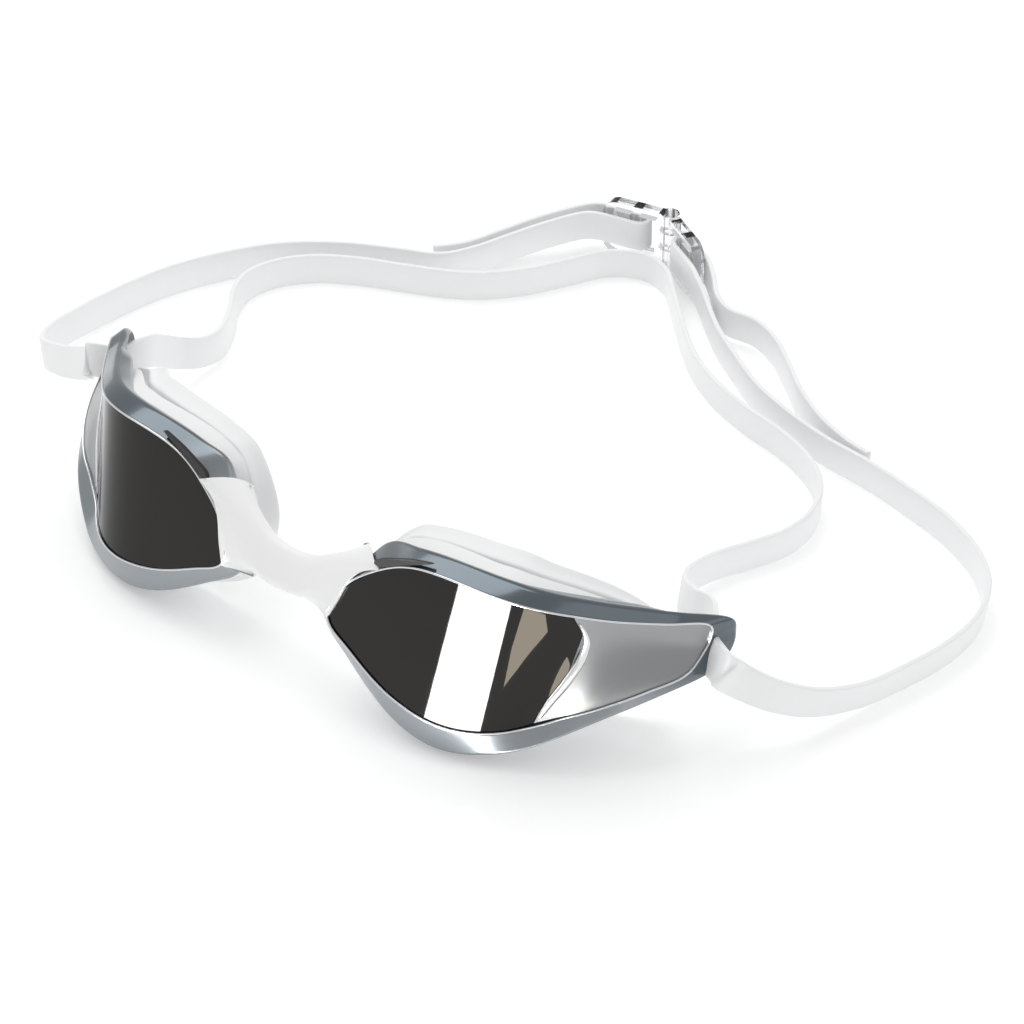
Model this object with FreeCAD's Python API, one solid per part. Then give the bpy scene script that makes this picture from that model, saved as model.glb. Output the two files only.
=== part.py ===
import FreeCAD, Part
import math
import os

# Racing swim goggles, in millimetres.  +Z is up, the lenses face -Y, the table is at z = 0.
# Each cup is drawn by s (length along the lens from the nose), v (height) and d (depth behind
# the front face), then stood in the goggles with its tilt and cant.  The left cup is the mirror.

V = FreeCAD.Vector

# middle of the goggles in plan, which becomes the origin
PLAN_X = -3.8
PLAN_Y = 76.85
LOWEST_Z = 0.14

# stance of the right cup
CUP_X = 19.1
CUP_Z = 48.4
CUP_TILT = 21.0
CUP_CANT = 9.0
CUP_YAW = -2.0

# points between two outline corners
LOOP_STEPS = 4

# wrap of the lens in plan
BEND_START = 28.0
BEND_RADIUS = 22.0
BEND_ANGLE = 47.0

# lens, panel and seal
LENS_T = 2.0
LENS_GAP = 0.1
CREASE_S = 53.0
SEAL_T = 0.7
JOIN_GAP = 0.08
LIP_W = 1.6

# frame
FRAME_PROUD = 0.3
RIM_D = 2.5
FRAME_D = 6.5
TEMPLE_D = 3.4
SLOT_S = 83.0
SLOT_V = -5.0
SLOT_W = 3.0
SLOT_H = 10.6

# eye cup housing, gasket and its retaining ring
HOUSING_D = 3.5
RING_T = 1.2
RING_W = 1.3
GASKET_D = 4.6
GASKET_LIP = 2.4

# nose bar and bridge
BAR_S = 0.9
BAR_V = -21.9
BAR_D = 2.6
BAR_LEAN = 24.0
BAR_R = 1.3
BAR_HALF = 11.2
LUG_R = 2.5
LUG_L = 2.0
SLEEVE_GAP = 0.05
SLEEVE_R = 2.5
SLEEVE_HALF = 8.0
SLEEVE_TAPER = 2.4
END_GAP = 0.4
LUG_CLEAR = 0.6
NECK_H = 8.6
NECK_T = 3.2

# strap
STRAP_W = 8.0
STRAP_T = 1.3
STRAP_STEPS = 4
STRAP_CLEAR = 0.35

# rear clip
CLIP_X = -27.0
CLIP_Y = 167.0
CLIP_Z = 8.6
CLIP_H = 15.0
CLIP_T = 3.0
CLIP_L = 18.0
CLIP_LEFT_TURN = 12.0
CLIP_RIGHT_TURN = -30.0
CLIP_SLOT = 4.6
CLIP_BAR = 2.4
CLIP_SLOT_H = 10.0
PIN_R = 1.2
KNUCKLE_R = 2.4

# Outlines in (s, v): brow from nose to temple, temple end, lower edge back to the nose.
LENS_EDGE = [
    (8.3, -14.6), (15.0, -9.4), (24.0, -6.6), (36.0, -4.6), (50.0, -4.0), (60.0, -3.2),
    (70.0, -1.0), (78.5, 0.8), (80.2, -3.0), (79.0, -8.0), (76.5, -13.5), (70.0, -18.5),
    (60.0, -26.5), (50.0, -32.5), (36.0, -36.6), (22.0, -37.0), (9.0, -34.2), (1.2, -31.0),
    (4.6, -23.0),
]
RIM_EDGE = [
    (4.5, -10.5), (13.0, -6.3), (24.0, -3.6), (36.0, -1.0), (50.0, -0.3), (61.0, -0.2),
    (73.0, 1.6), (84.5, 4.3), (87.5, 0.5), (87.0, -6.5), (83.5, -13.8), (75.5, -20.5),
    (64.0, -30.2), (50.0, -39.8), (36.0, -44.0), (22.0, -43.5), (8.0, -38.4), (-1.5, -33.2),
    (0.8, -23.0),
]
HOUSING_EDGE = [
    (7.0, -12.0), (14.0, -7.8), (24.0, -5.0), (36.0, -2.8), (50.0, -2.3), (59.0, -2.6),
    (67.0, -3.0), (74.0, -4.0), (77.0, -7.5), (77.0, -11.0), (75.0, -15.5), (69.0, -22.5),
    (60.0, -30.0), (50.0, -36.5), (36.0, -40.5), (22.0, -40.3), (9.0, -36.3), (1.5, -32.5),
    (3.5, -23.0),
]
EYE_EDGE = [
    (11.0, -15.5), (17.0, -11.5), (25.0, -8.8), (36.0, -6.8), (50.0, -6.3), (58.0, -6.6),
    (65.0, -7.0), (70.5, -8.0), (72.5, -10.0), (72.3, -12.5), (70.5, -15.0), (65.5, -19.5),
    (58.0, -25.5), (49.0, -31.0), (36.0, -35.0), (23.0, -35.0), (12.0, -32.0), (5.5, -29.5),
    (7.0, -22.5),
]
FACE_EDGE = [
    (3.5, -9.6), (11.5, -4.7), (23.0, -1.2), (36.0, 0.9), (50.0, 0.4), (58.5, -0.4),
    (66.0, -1.9), (73.0, -4.0), (77.0, -8.0), (78.0, -13.0), (76.5, -19.5), (70.5, -27.5),
    (61.0, -33.5), (50.0, -37.5), (36.0, -39.8), (22.0, -41.0), (8.0, -38.6), (0.0, -33.0),
    (-1.5, -21.5),
]

# Strap route in plan, from the left tail round to the right tail: x, y, height of the band's
# middle, and how far its top leans in x and y for each unit up.
LEFT_TAIL = [
    (-72.0, 127.8, 4.2, 0.00, 0.00), (-66.5, 134.0, 4.6, 0.00, 0.00),
    (-62.0, 143.0, 5.6, 0.00, 0.00), (-56.5, 153.0, 7.2, 0.00, 0.00),
    (-50.0, 162.4, 8.4, 0.00, 0.00),
]
LEFT_RUN = [
    (-48.5, 158.6, 8.2, 0.00, 0.00), (-54.0, 151.0, 7.0, 0.00, 0.00),
    (-59.0, 142.4, 5.6, 0.00, 0.00), (-63.2, 134.0, 4.6, 0.00, 0.00),
    (-68.5, 126.4, 4.2, 0.00, 0.00), (-78.0, 121.4, 4.2, -0.05, 0.05),
    (-88.0, 116.4, 4.2, -0.08, 0.05), (-97.0, 110.2, 4.2, -0.10, 0.05),
    (-104.5, 103.0, 4.2, -0.10, 0.03), (-110.5, 94.0, 4.2, -0.12, 0.00),
    (-115.5, 84.0, 4.2, -0.12, 0.00), (-118.8, 74.0, 4.2, -0.12, 0.00),
    (-120.6, 63.0, 4.3, -0.12, 0.00), (-121.3, 52.0, 4.6, -0.12, 0.00),
    (-120.6, 42.0, 5.2, -0.12, -0.04), (-116.6, 34.4, 6.6, -0.10, 0.02),
    (-109.0, 31.4, 9.2, -0.06, 0.12), (-100.0, 29.0, 13.2, -0.10, 0.26),
    (-91.5, 26.6, 18.2, -0.14, 0.36),
]
HEAD_RUN = [
    (-82.4, 36.5, 20.0, -0.16, 0.39), (-86.6, 44.5, 14.0, -0.14, 0.26),
    (-88.6, 52.0, 8.6, -0.12, 0.14), (-87.6, 59.0, 5.6, -0.10, 0.06),
    (-88.2, 66.0, 4.4, -0.06, 0.02), (-92.6, 74.5, 4.2, -0.06, 0.00),
    (-98.0, 82.0, 4.2, -0.08, 0.00), (-100.6, 90.0, 4.2, -0.08, 0.00),
    (-98.4, 98.4, 4.2, -0.06, 0.02), (-92.2, 106.0, 4.2, -0.04, 0.04),
    (-83.0, 111.7, 4.2, -0.02, 0.06), (-73.0, 116.0, 4.2, 0.00, 0.06),
    (-63.0, 120.4, 4.2, 0.00, 0.06), (-54.5, 126.0, 4.2, 0.00, 0.04),
    (-47.0, 134.6, 4.2, 0.00, 0.00), (-41.4, 144.6, 4.2, 0.00, 0.00),
    (-36.4, 153.4, 4.2, 0.00, 0.00), (-28.4, 158.0, 4.2, 0.00, 0.00),
    (-20.0, 156.0, 4.2, 0.00, 0.00), (-11.6, 148.0, 4.2, 0.00, 0.00),
    (-3.0, 139.4, 4.2, 0.00, 0.00), (6.5, 130.8, 4.2, 0.00, 0.00),
    (17.5, 124.0, 4.2, 0.00, 0.00), (30.0, 119.4, 4.2, 0.00, 0.00),
    (42.5, 116.4, 4.2, 0.00, 0.00), (53.0, 111.8, 4.2, 0.00, 0.02),
    (61.0, 104.6, 4.2, 0.02, 0.02), (64.8, 95.0, 4.2, 0.04, 0.00),
    (64.4, 86.0, 4.2, 0.04, 0.00), (60.8, 77.0, 4.3, 0.04, 0.00),
    (57.2, 68.0, 4.8, 0.04, 0.02), (57.0, 59.0, 6.2, 0.04, 0.08),
    (61.4, 51.0, 9.6, 0.06, 0.16), (68.6, 44.6, 14.0, 0.10, 0.28),
    (76.0, 39.6, 18.0, 0.14, 0.36),
]
RIGHT_RUN = [
    (92.0, 27.8, 17.0, 0.16, 0.32), (97.4, 33.4, 12.0, 0.18, 0.20),
    (102.4, 41.6, 7.4, 0.20, 0.10), (107.0, 52.0, 4.9, 0.22, 0.02),
    (110.2, 63.0, 4.3, 0.20, 0.00), (113.0, 75.0, 4.2, 0.16, 0.00),
    (113.2, 87.0, 4.2, 0.12, 0.00), (109.2, 98.0, 4.2, 0.08, 0.04),
    (100.8, 106.6, 4.2, 0.02, 0.06), (90.0, 112.4, 4.2, 0.00, 0.04),
    (78.0, 116.0, 4.2, 0.00, 0.02), (65.0, 118.9, 4.2, 0.00, 0.00),
    (52.0, 120.6, 4.2, 0.00, 0.00), (39.5, 123.8, 4.2, 0.00, 0.00),
    (27.0, 128.6, 4.2, 0.00, 0.00), (15.5, 135.6, 4.2, 0.00, 0.00),
    (5.0, 142.8, 4.4, 0.00, 0.00), (-4.0, 150.2, 5.8, 0.00, 0.00),
    (-9.0, 153.6, 7.6, 0.00, 0.00),
]
RIGHT_TAIL = [
    (-6.0, 156.6, 7.6, 0.00, 0.00), (-1.0, 151.4, 6.6, 0.00, 0.00),
    (4.5, 148.8, 5.8, 0.00, 0.00), (12.0, 149.6, 5.2, 0.00, 0.00),
    (20.0, 146.4, 4.8, 0.00, 0.00), (28.0, 140.2, 4.4, 0.00, 0.00),
    (36.0, 133.4, 4.3, 0.00, 0.00), (46.0, 127.0, 4.2, 0.00, 0.00),
    (56.0, 123.0, 4.2, 0.00, 0.00), (63.0, 121.6, 4.2, 0.00, 0.00),
]


# ---------------------------------------------------------------- cup coordinates

def cup_placement():
    yaw = FreeCAD.Rotation(V(0, 0, 1), CUP_YAW)
    tilt = FreeCAD.Rotation(V(1, 0, 0), -CUP_TILT)
    cant = FreeCAD.Rotation(V(0, 1, 0), CUP_CANT)
    turn = yaw.multiply(tilt).multiply(cant)
    return FreeCAD.Placement(V(CUP_X, 0, CUP_Z), turn)


def front(s):
    """Plan position and heading of the lens face at length s from the nose."""
    full = math.radians(BEND_ANGLE)
    arc = BEND_RADIUS * full
    if s <= BEND_START:
        return s, 0.0, 0.0
    if s <= BEND_START + arc:
        a = (s - BEND_START) / BEND_RADIUS
        return BEND_START + BEND_RADIUS * math.sin(a), BEND_RADIUS * (1 - math.cos(a)), a
    rest = s - BEND_START - arc
    u = BEND_START + BEND_RADIUS * math.sin(full) + rest * math.cos(full)
    w = BEND_RADIUS * (1 - math.cos(full)) + rest * math.sin(full)
    return u, w, full


def at(s, v, d):
    u, w, a = front(s)
    return V(u - d * math.sin(a), w + d * math.cos(a), v)


def temple_fade(s):
    t = min(1.0, max(0.0, (s - 64.0) / 14.0))
    return t * t * (3 - 2 * t)


def frame_depth(s):
    return FRAME_D - (FRAME_D - TEMPLE_D) * temple_fade(s)


def inset(edge, w):
    """The outline moved inward by w (outward for a negative w)."""
    out = []
    n = len(edge)
    for i in range(n):
        a = edge[i - 1]
        b = edge[(i + 1) % n]
        dx = b[0] - a[0]
        dy = b[1] - a[1]
        k = math.hypot(dx, dy)
        out.append((edge[i][0] + w * dy / k, edge[i][1] - w * dx / k))
    return out


def loop(edge, depth):
    """Closed smooth curve through an outline; depth is a number or a function of s."""
    flat = Part.BSplineCurve()
    knots = [float(i) for i in range(len(edge) + 1)]
    flat.interpolate(Points=[V(s, v, 0) for s, v in edge], PeriodicFlag=True, Parameters=knots)
    n = len(edge) * LOOP_STEPS
    pts = []
    for i in range(n):
        p = flat.value(i / LOOP_STEPS)
        d = depth(p.x) if callable(depth) else depth
        pts.append(at(p.x, p.y, d))
    curve = Part.BSplineCurve()
    curve.interpolate(Points=pts, PeriodicFlag=True, Parameters=[float(i) for i in range(n + 1)])
    return curve.toShape()


def ring(loops):
    """Closed ring bounded by ruled faces between each loop and the next."""
    faces = []
    for i in range(len(loops)):
        faces.append(Part.makeRuledSurface(loops[i], loops[(i + 1) % len(loops)]))
    shell = Part.makeShell(faces)
    shell.sewShape()
    solid = Part.makeSolid(shell)
    if solid.Volume < 0:
        solid.reverse()
    return solid


def stand(shape):
    placed = shape.copy()
    placed.Placement = cup_placement().multiply(placed.Placement)
    return placed


def mirrored(shape):
    return shape.mirror(V(0, 0, 0), V(1, 0, 0))


# ---------------------------------------------------------------- cup parts

def front_band(d0, d1):
    """Slab that follows the lens wrap between two depths, taller than the cup."""
    full = math.radians(BEND_ANGLE)
    mid = BEND_START + BEND_RADIUS * full / 2
    end = BEND_START + BEND_RADIUS * full
    low = V(0, 0, -60)
    edges = []
    a0 = at(-8, 0, d0)
    a1 = at(BEND_START, 0, d0)
    a2 = at(mid, 0, d0)
    a3 = at(end, 0, d0)
    a4 = at(95, 0, d0)
    b0 = at(-8, 0, d1)
    b1 = at(BEND_START, 0, d1)
    b2 = at(mid, 0, d1)
    b3 = at(end, 0, d1)
    b4 = at(95, 0, d1)
    edges.append(Part.makeLine(a0, a1))
    edges.append(Part.Arc(a1, a2, a3).toShape())
    edges.append(Part.makeLine(a3, a4))
    edges.append(Part.makeLine(a4, b4))
    edges.append(Part.makeLine(b4, b3))
    edges.append(Part.Arc(b3, b2, b1).toShape())
    edges.append(Part.makeLine(b1, b0))
    edges.append(Part.makeLine(b0, a0))
    face = Part.Face(Part.Wire(edges))
    face.translate(low)
    return face.extrude(V(0, 0, 80))


def plate(edge, d0, d1):
    far = inset(edge, -12.0)
    trim = ring([loop(edge, d0 - 2), loop(far, d0 - 2), loop(far, d1 + 2), loop(edge, d1 + 2)])
    pieces = front_band(d0, d1).cut(trim).Solids
    inside = at(40, -20, (d0 + d1) / 2)
    return [p for p in pieces if p.isInside(inside, 0.01, True)][0]


def side_block(s, sign):
    """Big block covering everything past s (sign +1) or before it (sign -1)."""
    u, w, a = front(s)
    along = V(math.cos(a), math.sin(a), 0) * sign
    block = Part.makeBox(80, 60, 120, V(0, -30, -80))
    if sign > 0:
        block.Placement = FreeCAD.Placement(V(u, w, 0), FreeCAD.Rotation(V(0, 0, 1), math.degrees(a)))
    else:
        turn = FreeCAD.Rotation(V(0, 0, 1), math.degrees(a) + 180)
        block.Placement = FreeCAD.Placement(V(u, w, 0), turn)
    return block


def lens():
    blank = plate(inset(LENS_EDGE, LENS_GAP), 0.0, LENS_T)
    return blank.cut(side_block(CREASE_S - LENS_GAP, 1))


def temple_panel():
    blank = plate(inset(LENS_EDGE, LENS_GAP), 0.0, LENS_T)
    return blank.cut(side_block(CREASE_S + LENS_GAP, -1))


def lens_seal():
    back = LENS_T + SEAL_T - JOIN_GAP
    out = inset(LENS_EDGE, 2 * LENS_GAP)
    inn = inset(LENS_EDGE, LIP_W - LENS_GAP)
    face = LENS_T + JOIN_GAP
    return ring([loop(out, face), loop(out, back), loop(inn, back), loop(inn, face)])


def bar_axis():
    a = math.radians(BAR_LEAN)
    return V(math.sin(a), 0, math.cos(a))


def on_bar(t):
    return at(BAR_S, BAR_V, BAR_D) + bar_axis() * t


def bar_cylinder(radius, t0, t1):
    return Part.makeCylinder(radius, t1 - t0, on_bar(t0), bar_axis())


def nose_bar():
    return bar_cylinder(BAR_R, -BAR_HALF, BAR_HALF)


def slot_cutter():
    u, w, a = front(SLOT_S)
    block = Part.makeBox(SLOT_W, 20, SLOT_H, V(-SLOT_W / 2, -8, -SLOT_H / 2))
    soft = block.makeFillet(SLOT_W * 0.35, [e for e in block.Edges if abs(e.tangentAt(0).y) > 0.9])
    soft.Placement = FreeCAD.Placement(V(u, w, SLOT_V), FreeCAD.Rotation(V(0, 0, 1), math.degrees(a)))
    return soft


def frame():
    seat = LENS_T + SEAL_T
    lip = inset(LENS_EDGE, LIP_W)
    rear = inset(RIM_EDGE, 0.9)
    body = ring([
        loop(LENS_EDGE, -FRAME_PROUD), loop(RIM_EDGE, RIM_D), loop(rear, frame_depth),
        loop(lip, frame_depth), loop(lip, seat), loop(LENS_EDGE, seat)])
    lugs = bar_cylinder(LUG_R, -BAR_HALF, -BAR_HALF + LUG_L)
    lugs = lugs.fuse(bar_cylinder(LUG_R, BAR_HALF - LUG_L, BAR_HALF))
    room = bar_cylinder(SLEEVE_R + END_GAP, LUG_L - BAR_HALF, BAR_HALF - LUG_L)
    body = body.cut(room).fuse(lugs)
    body = body.cut(nose_bar()).cut(slot_cutter())
    return max(body.Solids, key=lambda p: p.Volume)


def housing_rear(s):
    return frame_depth(s) + HOUSING_D


def housing_face(s):
    return frame_depth(s) + JOIN_GAP


def gasket_seat(s):
    return housing_rear(s) + JOIN_GAP


def eye_housing():
    mid = blend(HOUSING_EDGE, FACE_EDGE, 0.45)
    return ring([
        loop(HOUSING_EDGE, housing_face), loop(mid, housing_rear),
        loop(EYE_EDGE, housing_rear), loop(EYE_EDGE, housing_face)])


def blend(a, b, t):
    return [(p[0] + (q[0] - p[0]) * t, p[1] + (q[1] - p[1]) * t) for p, q in zip(a, b)]


def face_depth(s):
    return housing_rear(s) + GASKET_D


def gasket():
    mid = blend(HOUSING_EDGE, FACE_EDGE, 0.45)
    inner = inset(FACE_EDGE, GASKET_LIP)
    seat = inset(EYE_EDGE, -RING_W - JOIN_GAP)
    return ring([
        loop(mid, gasket_seat), loop(FACE_EDGE, face_depth),
        loop(inner, face_depth), loop(seat, gasket_seat)])


def ring_rear(s):
    return gasket_seat(s) + RING_T


def gasket_ring():
    seat = inset(EYE_EDGE, -RING_W)
    bore = inset(EYE_EDGE, -JOIN_GAP)
    return ring([
        loop(seat, gasket_seat), loop(seat, ring_rear), loop(bore, ring_rear), loop(bore, gasket_seat)])


# ---------------------------------------------------------------- nose bridge

def section(centre, up, out, high, thick):
    """Closed rounded section, high along up and thick along out."""
    pts = []
    for k in range(12):
        a = 2 * math.pi * k / 12
        c = math.copysign(abs(math.cos(a)) ** 0.75, math.cos(a))
        s = math.copysign(abs(math.sin(a)) ** 0.75, math.sin(a))
        pts.append(centre + up * (c * high / 2) + out * (s * thick / 2))
    curve = Part.BSplineCurve()
    curve.interpolate(Points=pts, PeriodicFlag=True)
    return curve.toShape()


def tube(sections):
    """Solid through closed sections, ruled between neighbours and capped flat at both ends."""
    faces = []
    for a, b in zip(sections[:-1], sections[1:]):
        faces.append(Part.makeRuledSurface(a, b))
    first = Part.Face(Part.Wire([sections[0]]))
    last = Part.Face(Part.Wire([sections[-1]]))
    return closed_solid(faces + [first, last])


def closed_solid(faces):
    sewn = Part.Compound(faces)
    sewn.sewShape()
    shell = sewn.Shells[0] if sewn.Shells else Part.makeShell(sewn.Faces)
    solid = Part.makeSolid(shell)
    solid.fix(0.001, 0.001, 0.01)
    if solid.Volume < 0:
        solid.reverse()
    return solid


def bridge_section(t, mid, axis):
    """Section of the bridge at t from -1 (left sleeve) over 0 (neck) to 1 (right sleeve)."""
    k = abs(t)
    flare = k ** 4
    sign = 1 if t >= 0 else -1
    arch = V(0, 0.62, 0.78)
    up = arch + (V(axis.x * sign, axis.y, axis.z) - arch) * k ** 2
    up.normalize()
    out = V(0, up.z, -up.y).normalize()
    centre = V((mid.x - 0.4) * t, -7.4 + (mid.y + 7.4) * k ** 2, 22.8 + (mid.z - 22.8) * k ** 2)
    high = NECK_H + (2 * SLEEVE_HALF - SLEEVE_TAPER - NECK_H) * flare
    thick = NECK_T + (4.0 - NECK_T) * k
    return section(centre, up, out, high, thick)


def lug_notches():
    """Room in the bridge for the frame's lugs above and below the sleeve."""
    reach = LUG_L + 4.0
    start = BAR_HALF - LUG_L - END_GAP
    upper = bar_cylinder(LUG_R + LUG_CLEAR, start, start + reach)
    lower = bar_cylinder(LUG_R + LUG_CLEAR, -start - reach, -start)
    return [stand(upper), stand(lower)]


def nose_bridge():
    place = cup_placement()
    mid = place.multVec(on_bar(0))
    axis = place.Rotation.multVec(bar_axis())
    body = tube([bridge_section(k / 8, mid, axis) for k in range(-8, 9)])
    sleeve = stand(bar_cylinder(SLEEVE_R, -SLEEVE_HALF, SLEEVE_HALF))
    bore = stand(bar_cylinder(BAR_R + SLEEVE_GAP, -SLEEVE_HALF - 2, SLEEVE_HALF + 2))
    body = body.fuse([sleeve, mirrored(sleeve)])
    body = body.cut(bore).cut(mirrored(bore))
    for notch in lug_notches():
        body = body.cut(notch).cut(mirrored(notch))
    return max(body.Solids, key=lambda p: p.Volume)


# ---------------------------------------------------------------- strap

def slot_point(sign, d, ds):
    u, w, a = front(SLOT_S + ds)
    p = cup_placement().multVec(V(u - d * math.sin(a), w + d * math.cos(a), SLOT_V))
    return V(p.x * sign, p.y, p.z)


def slot_rows(sign):
    """Strap route through a temple slot, from outside the frame to behind it."""
    up = cup_placement().Rotation.multVec(V(0, 0, 1))
    rows = []
    for d, ds in ((-2.4, 1.6), (1.4, 0.0), (5.2, -0.6)):
        p = slot_point(sign, d, ds)
        rows.append((p.x, p.y, p.z, up.x / up.z * sign, up.y / up.z))
    return rows


def clip_rows(side, turn):
    """Strap route round the middle bar of a clip half, from its face to its back."""
    a = math.radians(turn)
    along = V(math.cos(a), math.sin(a), 0) * side
    back = V(-math.sin(a), math.cos(a), 0)
    bar = KNUCKLE_R + 1.0 + CLIP_SLOT
    r = CLIP_T / 2 + STRAP_CLEAR + STRAP_T / 2
    rows = []
    for t, q in ((10.0, -1.0), (4.2, -1.0), (0.3, -1.0), (-1.5, -0.72), (-2.3, 0.0),
                 (-1.5, 0.72), (0.3, 1.0), (4.2, 1.0), (10.0, 1.0)):
        p = V(CLIP_X, CLIP_Y, CLIP_Z) + along * (bar + t) + back * (q * r)
        rows.append((p.x, p.y, p.z, 0.0, 0.0))
    return rows


def strap_route():
    left_clip = clip_rows(-1, CLIP_LEFT_TURN)
    left_clip.reverse()
    right_slot = slot_rows(1)
    right_slot.reverse()
    left = LEFT_TAIL + left_clip + LEFT_RUN + slot_rows(-1)
    right = right_slot + RIGHT_RUN + clip_rows(1, CLIP_RIGHT_TURN) + RIGHT_TAIL
    return left + HEAD_RUN + right


def smooth(rows, k, t):
    """Catmull-Rom value of each column between rows k and k + 1."""
    n = len(rows)
    a = rows[max(k - 1, 0)]
    b = rows[k]
    c = rows[k + 1]
    d = rows[min(k + 2, n - 1)]
    out = []
    for i in range(5):
        m0 = (c[i] - a[i]) / 2
        m1 = (d[i] - b[i]) / 2
        h = (2 * t ** 3 - 3 * t ** 2 + 1) * b[i] + (t ** 3 - 2 * t ** 2 + t) * m0
        out.append(h + (-2 * t ** 3 + 3 * t ** 2) * c[i] + (t ** 3 - t ** 2) * m1)
    return out


def strap_frames():
    rows = strap_route()
    fine = []
    for k in range(len(rows) - 1):
        for j in range(STRAP_STEPS):
            fine.append(smooth(rows, k, j / STRAP_STEPS))
    fine.append(list(rows[-1]))
    frames = []
    for k, row in enumerate(fine):
        a = fine[max(k - 1, 0)]
        b = fine[min(k + 1, len(fine) - 1)]
        along = V(b[0] - a[0], b[1] - a[1], b[2] - a[2]).normalize()
        up = V(row[3], row[4], 1)
        up = (up - along * up.dot(along)).normalize()
        frames.append((V(row[0], row[1], row[2]), up, along.cross(up)))
    return frames


def strap():
    curves = []
    for p, q in ((1, 1), (1, -1), (-1, -1), (-1, 1)):
        pts = [c + up * (p * STRAP_W / 2) + out * (q * STRAP_T / 2) for c, up, out in strap_frames()]
        curve = Part.BSplineCurve()
        curve.interpolate(Points=pts, Parameters=[float(i) for i in range(len(pts))])
        curves.append(curve)
    faces = [ruled(curves[i], curves[(i + 1) % 4]) for i in range(4)]
    for end in (0, -1):
        corners = [c.getPoles()[end] for c in curves]
        faces.append(Part.Face(Part.makePolygon(corners + [corners[0]])))
    return closed_solid(faces)


def ruled(a, b):
    """Ruled face between two open curves with the same knots."""
    face = Part.BSplineSurface()
    face.buildFromPolesMultsKnots(
        [a.getPoles(), b.getPoles()], [2, 2], a.getMultiplicities(), [0.0, 1.0], a.getKnots(),
        False, False, 1, a.Degree)
    return face.toShape()


# ---------------------------------------------------------------- rear clip

def clip_half(sign):
    """Ladder plate of one clip half, from the pin outward along +X * sign."""
    plate_body = Part.makeBox(CLIP_L - KNUCKLE_R, CLIP_T, CLIP_H, V(KNUCKLE_R, -CLIP_T / 2, -CLIP_H / 2))
    upright = [e for e in plate_body.Edges if abs(e.tangentAt(0).y) > 0.9 and e.CenterOfMass.x > 10]
    plate_body = plate_body.makeFillet(4.0, upright)
    first = KNUCKLE_R + 1.0
    second = first + CLIP_SLOT + CLIP_BAR
    for x in (first, second):
        plate_body = plate_body.cut(
            Part.makeBox(CLIP_SLOT, 3 * CLIP_T, CLIP_SLOT_H, V(x, -1.5 * CLIP_T, -CLIP_SLOT_H / 2)))
    return plate_body if sign > 0 else plate_body.mirror(V(0, 0, 0), V(1, 0, 0))


def knuckle(z0, z1):
    return Part.makeCylinder(KNUCKLE_R, z1 - z0, V(0, 0, z0))


def pin_hole(gap):
    return Part.makeCylinder(PIN_R + gap, CLIP_H + 4, V(0, 0, -CLIP_H / 2 - 2))


def web(sign, z0, z1):
    x0 = 0 if sign > 0 else -KNUCKLE_R - 0.5
    return Part.makeBox(KNUCKLE_R + 0.5, CLIP_T, z1 - z0, V(x0, -CLIP_T / 2, z0))


def clip_place(shape, turn):
    placed = shape.copy()
    placed.Placement = FreeCAD.Placement(V(CLIP_X, CLIP_Y, CLIP_Z), FreeCAD.Rotation(V(0, 0, 1), turn))
    return placed


def clip_left():
    third = CLIP_H / 6
    body = clip_half(-1)
    for z0, z1 in ((-CLIP_H / 2, -third - 0.1), (third + 0.1, CLIP_H / 2)):
        body = body.fuse([knuckle(z0, z1), web(-1, z0, z1)])
    return clip_place(body.cut(pin_hole(0.0)).Solids[0], CLIP_LEFT_TURN)


def clip_right():
    third = CLIP_H / 6 - 0.1
    body = clip_half(1).fuse([knuckle(-third, third), web(1, -third, third)])
    return clip_place(body.cut(pin_hole(0.05)).Solids[0], CLIP_RIGHT_TURN)


def clip_pin():
    return clip_place(Part.makeCylinder(PIN_R, CLIP_H, V(0, 0, -CLIP_H / 2)), 0)


# ---------------------------------------------------------------- output

def main():
    os.makedirs("parts", exist_ok=True)
    shapes = {
        "nose_bridge": nose_bridge(),
        "strap": strap(),
        "clip_left": clip_left(),
        "clip_right": clip_right(),
        "clip_pin": clip_pin(),
    }
    cup = {
        "frame": frame(),
        "lens": lens(),
        "temple_panel": temple_panel(),
        "lens_seal": lens_seal(),
        "eye_housing": eye_housing(),
        "gasket": gasket(),
        "gasket_ring": gasket_ring(),
        "nose_bar": nose_bar(),
    }
    for name, shape in cup.items():
        right = stand(shape)
        shapes[name + "_right"] = right
        shapes[name + "_left"] = mirrored(right)
    for name, shape in shapes.items():
        shape = shape.Solids[0]
        shape.translate(V(-PLAN_X, -PLAN_Y, -LOWEST_Z))
        shape.exportStep("parts/" + name + ".step")
        print(name, len(shape.Solids), shape.isValid(), round(shape.Volume, 1))


main()
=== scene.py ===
# %% [markdown]
# Racing swim goggles on a table: two mirrored eye cups, a soft bridge, one long strap and a
# clear rear clip.  The frame holds every part at its size.  This script draws the skins that
# are seen, on the same bodies, so loading the frame comes first.

# %% Load the frame
import math

import bmesh
import bpy
import numpy as np
from mathutils import Matrix, Vector


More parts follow.
